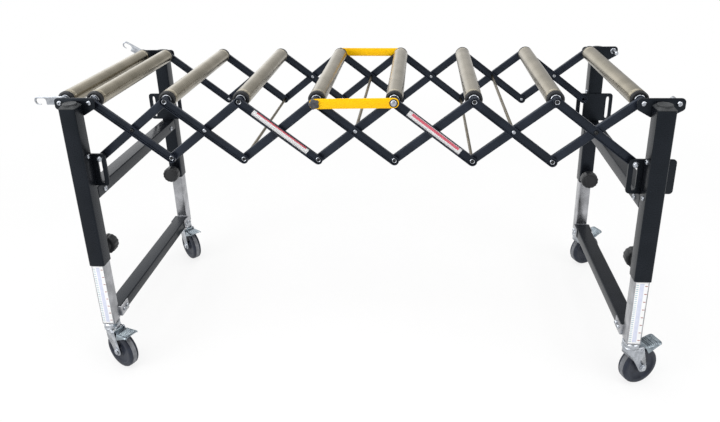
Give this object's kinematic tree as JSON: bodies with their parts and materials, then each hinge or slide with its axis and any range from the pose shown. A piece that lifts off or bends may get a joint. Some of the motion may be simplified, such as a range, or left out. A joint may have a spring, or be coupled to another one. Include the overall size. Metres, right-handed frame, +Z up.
{
  "type": "expandable roller conveyor",
  "caption": "Expandable gravity roller conveyor: steel scissor linkage with rollers between two height-adjustable end frames on braked swivel casters, with coupling hooks at one end.",
  "frame": {"origin": "on the floor under the middle of the roller bed, midway between the front and back rails", "axes": "+X along the conveyor towards the coupling pins, +Y from the front rail to the back rail, +Z up"},
  "size_m": [1.4582, 0.6324, 0.7379],
  "materials": {
    "black_paint": "semi-gloss powder coat",
    "zinc": "bright zinc plate",
    "roller": "dull galvanised tube",
    "black_plastic": "moulded, matt",
    "yellow_paint": "gloss paint",
    "wheel": "hard rubber, satin"
  },
  "bodies": {
    "left_frame": {"left_legs": "black_paint", "left_top_brackets": "black_paint", "left_slot_plates": "black_paint", "left_axles": "zinc", "left_upper_crossbar": "black_paint"},
    "left_lower_frame": {"left_inner_legs": "zinc", "left_lower_crossbar": "black_paint"},
    "right_frame": {"right_legs": "black_paint", "right_top_brackets": "black_paint", "right_slot_plates": "black_paint", "right_axles": "zinc", "right_upper_crossbar": "black_paint"},
    "right_lower_frame": {"right_inner_legs": "zinc", "right_lower_crossbar": "black_paint"},
    "fall_0": {"fall_0": "black_paint"},
    "rise_0": {"rise_0": "black_paint"},
    "fall_1": {"fall_1": "black_paint"},
    "rise_1": {"rise_1": "black_paint"},
    "fall_2": {"fall_2": "black_paint"},
    "rise_2": {"rise_2": "black_paint"},
    "fall_3": {"fall_3": "black_paint"},
    "rise_3": {"rise_3": "black_paint"},
    "fall_4": {"fall_4": "black_paint"},
    "rise_4": {"rise_4": "black_paint"},
    "fall_5": {"fall_5": "black_paint"},
    "rise_5": {"rise_5": "black_paint"},
    "fall_6": {"fall_6": "black_paint"},
    "rise_6": {"rise_6": "black_paint"},
    "roller_1": {"roller_1": "roller"},
    "roller_2": {"roller_2": "roller"},
    "roller_3": {"roller_3": "roller"},
    "roller_4": {"roller_4": "roller"},
    "roller_5": {"roller_5": "roller"},
    "roller_6": {"roller_6": "roller"},
    "roller_7": {"roller_7": "roller"},
    "roller_8": {"roller_8": "roller"},
    "roller_9": {"roller_9": "roller"},
    "left_front_height_knob": {"left_front_height_knob": "black_plastic"},
    "left_front_fork": {"left_front_fork": "zinc"},
    "left_front_wheel": {"left_front_wheel": "wheel"},
    "left_front_pedal": {"left_front_pedal": "zinc"},
    "left_back_height_knob": {"left_back_height_knob": "black_plastic"},
    "left_back_fork": {"left_back_fork": "zinc"},
    "left_back_wheel": {"left_back_wheel": "wheel"},
    "left_back_pedal": {"left_back_pedal": "zinc"},
    "right_front_height_knob": {"right_front_height_knob": "black_plastic"},
    "right_front_fork": {"right_front_fork": "zinc"},
    "right_front_wheel": {"right_front_wheel": "wheel"},
    "right_front_pedal": {"right_front_pedal": "zinc"},
    "right_back_height_knob": {"right_back_height_knob": "black_plastic"},
    "right_back_fork": {"right_back_fork": "zinc"},
    "right_back_wheel": {"right_back_wheel": "wheel"},
    "right_back_pedal": {"right_back_pedal": "zinc"},
    "front_hook": {"front_hook": "zinc"},
    "front_link": {"front_link": "yellow_paint"},
    "front_link_knob": {"front_link_knob": "black_plastic"},
    "back_hook": {"back_hook": "zinc"},
    "back_link": {"back_link": "yellow_paint"},
    "back_link_knob": {"back_link_knob": "black_plastic"}
  },
  "joints": [
    {"name": "fold", "type": "hinge", "parent": "left_frame", "child": "fall_0", "pos_m": [-0.602, 0, 0.696], "axis": [0, 1, 0], "range_deg": [0, 22.5]},
    {"name": "mid_pivot_0", "type": "hinge", "parent": "fall_0", "child": "rise_0", "pos_m": [-0.516, 0, 0.6275], "axis": [0, 1, 0], "range_deg": [-45, 0]},
    {"name": "top_pivot_1", "type": "hinge", "parent": "rise_0", "child": "fall_1", "pos_m": [-0.43, 0, 0.696], "axis": [0, 1, 0], "range_deg": [0, 45]},
    {"name": "mid_pivot_1", "type": "hinge", "parent": "fall_1", "child": "rise_1", "pos_m": [-0.344, 0, 0.6275], "axis": [0, 1, 0], "range_deg": [-45, 0]},
    {"name": "top_pivot_2", "type": "hinge", "parent": "rise_1", "child": "fall_2", "pos_m": [-0.258, 0, 0.696], "axis": [0, 1, 0], "range_deg": [0, 45]},
    {"name": "mid_pivot_2", "type": "hinge", "parent": "fall_2", "child": "rise_2", "pos_m": [-0.172, 0, 0.6275], "axis": [0, 1, 0], "range_deg": [-45, 0]},
    {"name": "top_pivot_3", "type": "hinge", "parent": "rise_2", "child": "fall_3", "pos_m": [-0.086, 0, 0.696], "axis": [0, 1, 0], "range_deg": [0, 45]},
    {"name": "mid_pivot_3", "type": "hinge", "parent": "fall_3", "child": "rise_3", "pos_m": [0, 0, 0.6275], "axis": [0, 1, 0], "range_deg": [-45, 0]},
    {"name": "top_pivot_4", "type": "hinge", "parent": "rise_3", "child": "fall_4", "pos_m": [0.086, 0, 0.696], "axis": [0, 1, 0], "range_deg": [0, 45]},
    {"name": "mid_pivot_4", "type": "hinge", "parent": "fall_4", "child": "rise_4", "pos_m": [0.172, 0, 0.6275], "axis": [0, 1, 0], "range_deg": [-45, 0]},
    {"name": "top_pivot_5", "type": "hinge", "parent": "rise_4", "child": "fall_5", "pos_m": [0.258, 0, 0.696], "axis": [0, 1, 0], "range_deg": [0, 45]},
    {"name": "mid_pivot_5", "type": "hinge", "parent": "fall_5", "child": "rise_5", "pos_m": [0.344, 0, 0.6275], "axis": [0, 1, 0], "range_deg": [-45, 0]},
    {"name": "top_pivot_6", "type": "hinge", "parent": "rise_5", "child": "fall_6", "pos_m": [0.43, 0, 0.696], "axis": [0, 1, 0], "range_deg": [0, 45]},
    {"name": "mid_pivot_6", "type": "hinge", "parent": "fall_6", "child": "rise_6", "pos_m": [0.516, 0, 0.6275], "axis": [0, 1, 0], "range_deg": [-45, 0]},
    {"name": "right_end_pivot", "type": "hinge", "parent": "rise_6", "child": "right_frame", "pos_m": [0.602, 0, 0.696], "axis": [0, 1, 0], "range_deg": [0, 22.5]},
    {"name": "roller_1_spin", "type": "hinge", "parent": "left_frame", "child": "roller_1", "pos_m": [-0.672, 0, 0.696], "axis": [0, 1, 0], "continuous": true},
    {"name": "roller_2_spin", "type": "hinge", "parent": "left_frame", "child": "roller_2", "pos_m": [-0.602, 0, 0.696], "axis": [0, 1, 0], "continuous": true},
    {"name": "roller_3_spin", "type": "hinge", "parent": "fall_1", "child": "roller_3", "pos_m": [-0.43, 0, 0.696], "axis": [0, 1, 0], "continuous": true},
    {"name": "roller_4_spin", "type": "hinge", "parent": "fall_2", "child": "roller_4", "pos_m": [-0.258, 0, 0.696], "axis": [0, 1, 0], "continuous": true},
    {"name": "roller_5_spin", "type": "hinge", "parent": "fall_3", "child": "roller_5", "pos_m": [-0.086, 0, 0.696], "axis": [0, 1, 0], "continuous": true},
    {"name": "roller_6_spin", "type": "hinge", "parent": "fall_4", "child": "roller_6", "pos_m": [0.086, 0, 0.696], "axis": [0, 1, 0], "continuous": true},
    {"name": "roller_7_spin", "type": "hinge", "parent": "fall_5", "child": "roller_7", "pos_m": [0.258, 0, 0.696], "axis": [0, 1, 0], "continuous": true},
    {"name": "roller_8_spin", "type": "hinge", "parent": "fall_6", "child": "roller_8", "pos_m": [0.43, 0, 0.696], "axis": [0, 1, 0], "continuous": true},
    {"name": "roller_9_spin", "type": "hinge", "parent": "right_frame", "child": "roller_9", "pos_m": [0.602, 0, 0.696], "axis": [0, 1, 0], "continuous": true},
    {"name": "left_height_slide", "type": "slide", "parent": "left_frame", "child": "left_lower_frame", "axis": [0, 0, 1], "range_m": [-0.1, 0.12]},
    {"name": "left_front_knob_turn", "type": "hinge", "parent": "left_frame", "child": "left_front_height_knob", "pos_m": [-0.637, -0.23, 0.316], "axis": [0, 1, 0], "continuous": true},
    {"name": "left_front_swivel", "type": "hinge", "parent": "left_lower_frame", "child": "left_front_fork", "pos_m": [-0.637, -0.263, 0.1], "axis": [0, 0, 1], "continuous": true},
    {"name": "left_front_roll", "type": "hinge", "parent": "left_front_fork", "child": "left_front_wheel", "pos_m": [-0.61228, -0.27614, 0.0475], "axis": [0.4695, 0.8829, 0], "continuous": true},
    {"name": "left_front_brake", "type": "hinge", "parent": "left_front_fork", "child": "left_front_pedal", "pos_m": [-0.61934, -0.27239, 0.101], "axis": [0.4695, 0.8829, 0], "range_deg": [0, 12]},
    {"name": "left_back_knob_turn", "type": "hinge", "parent": "left_frame", "child": "left_back_height_knob", "pos_m": [-0.637, 0.23, 0.316], "axis": [0, 1, 0], "continuous": true},
    {"name": "left_back_swivel", "type": "hinge", "parent": "left_lower_frame", "child": "left_back_fork", "pos_m": [-0.637, 0.263, 0.1], "axis": [0, 0, 1], "continuous": true},
    {"name": "left_back_roll", "type": "hinge", "parent": "left_back_fork", "child": "left_back_wheel", "pos_m": [-0.61686, 0.24355, 0.0475], "axis": [0.6947, 0.7193, 0], "continuous": true},
    {"name": "left_back_brake", "type": "hinge", "parent": "left_back_fork", "child": "left_back_pedal", "pos_m": [-0.62261, 0.24911, 0.101], "axis": [0.6947, 0.7193, 0], "range_deg": [0, 12]},
    {"name": "right_height_slide", "type": "slide", "parent": "right_frame", "child": "right_lower_frame", "axis": [0, 0, 1], "range_m": [-0.1, 0.12]},
    {"name": "right_front_knob_turn", "type": "hinge", "parent": "right_frame", "child": "right_front_height_knob", "pos_m": [0.637, -0.23, 0.316], "axis": [0, 1, 0], "continuous": true},
    {"name": "right_front_swivel", "type": "hinge", "parent": "right_lower_frame", "child": "right_front_fork", "pos_m": [0.637, -0.263, 0.1], "axis": [0, 0, 1], "continuous": true},
    {"name": "right_front_roll", "type": "hinge", "parent": "right_front_fork", "child": "right_front_wheel", "pos_m": [0.66258, -0.25161, 0.0475], "axis": [-0.4067, 0.9135, 0], "continuous": true},
    {"name": "right_front_brake", "type": "hinge", "parent": "right_front_fork", "child": "right_front_pedal", "pos_m": [0.65527, -0.25487, 0.101], "axis": [-0.4067, 0.9135, 0], "range_deg": [0, 12]},
    {"name": "right_back_knob_turn", "type": "hinge", "parent": "right_frame", "child": "right_back_height_knob", "pos_m": [0.637, 0.23, 0.316], "axis": [0, 1, 0], "continuous": true},
    {"name": "right_back_swivel", "type": "hinge", "parent": "right_lower_frame", "child": "right_back_fork", "pos_m": [0.637, 0.263, 0.1], "axis": [0, 0, 1], "continuous": true},
    {"name": "right_back_roll", "type": "hinge", "parent": "right_back_fork", "child": "right_back_wheel", "pos_m": [0.66172, 0.27614, 0.0475], "axis": [-0.4695, 0.8829, 0], "continuous": true},
    {"name": "right_back_brake", "type": "hinge", "parent": "right_back_fork", "child": "right_back_pedal", "pos_m": [0.65466, 0.27239, 0.101], "axis": [-0.4695, 0.8829, 0], "range_deg": [0, 12]},
    {"name": "front_hook_swing", "type": "hinge", "parent": "left_frame", "child": "front_hook", "pos_m": [-0.672, -0.2245, 0.696], "axis": [0, 1, 0], "range_deg": [-80, 100]},
    {"name": "front_link_swing", "type": "hinge", "parent": "fall_4", "child": "front_link", "pos_m": [0.086, -0.2413, 0.696], "axis": [0, 1, 0], "range_deg": [0, 180]},
    {"name": "front_link_knob_turn", "type": "hinge", "parent": "front_link", "child": "front_link_knob", "pos_m": [-0.086, -0.249, 0.696], "axis": [0, 1, 0], "continuous": true},
    {"name": "back_hook_swing", "type": "hinge", "parent": "left_frame", "child": "back_hook", "pos_m": [-0.672, 0.2245, 0.696], "axis": [0, 1, 0], "range_deg": [-111, 69]},
    {"name": "back_link_swing", "type": "hinge", "parent": "fall_4", "child": "back_link", "pos_m": [0.086, 0.2413, 0.696], "axis": [0, 1, 0], "range_deg": [0, 180]},
    {"name": "back_link_knob_turn", "type": "hinge", "parent": "back_link", "child": "back_link_knob", "pos_m": [-0.086, 0.249, 0.696], "axis": [0, 1, 0], "continuous": true}
  ],
  "couplings": [
    {"joint": "mid_pivot_0", "follows": "fold", "ratio": -2},
    {"joint": "top_pivot_1", "follows": "fold", "ratio": 2},
    {"joint": "mid_pivot_1", "follows": "fold", "ratio": -2},
    {"joint": "top_pivot_2", "follows": "fold", "ratio": 2},
    {"joint": "mid_pivot_2", "follows": "fold", "ratio": -2},
    {"joint": "top_pivot_3", "follows": "fold", "ratio": 2},
    {"joint": "mid_pivot_3", "follows": "fold", "ratio": -2},
    {"joint": "top_pivot_4", "follows": "fold", "ratio": 2},
    {"joint": "mid_pivot_4", "follows": "fold", "ratio": -2},
    {"joint": "top_pivot_5", "follows": "fold", "ratio": 2},
    {"joint": "mid_pivot_5", "follows": "fold", "ratio": -2},
    {"joint": "top_pivot_6", "follows": "fold", "ratio": 2},
    {"joint": "mid_pivot_6", "follows": "fold", "ratio": -2},
    {"joint": "right_end_pivot", "follows": "fold", "ratio": 1}
  ]
}
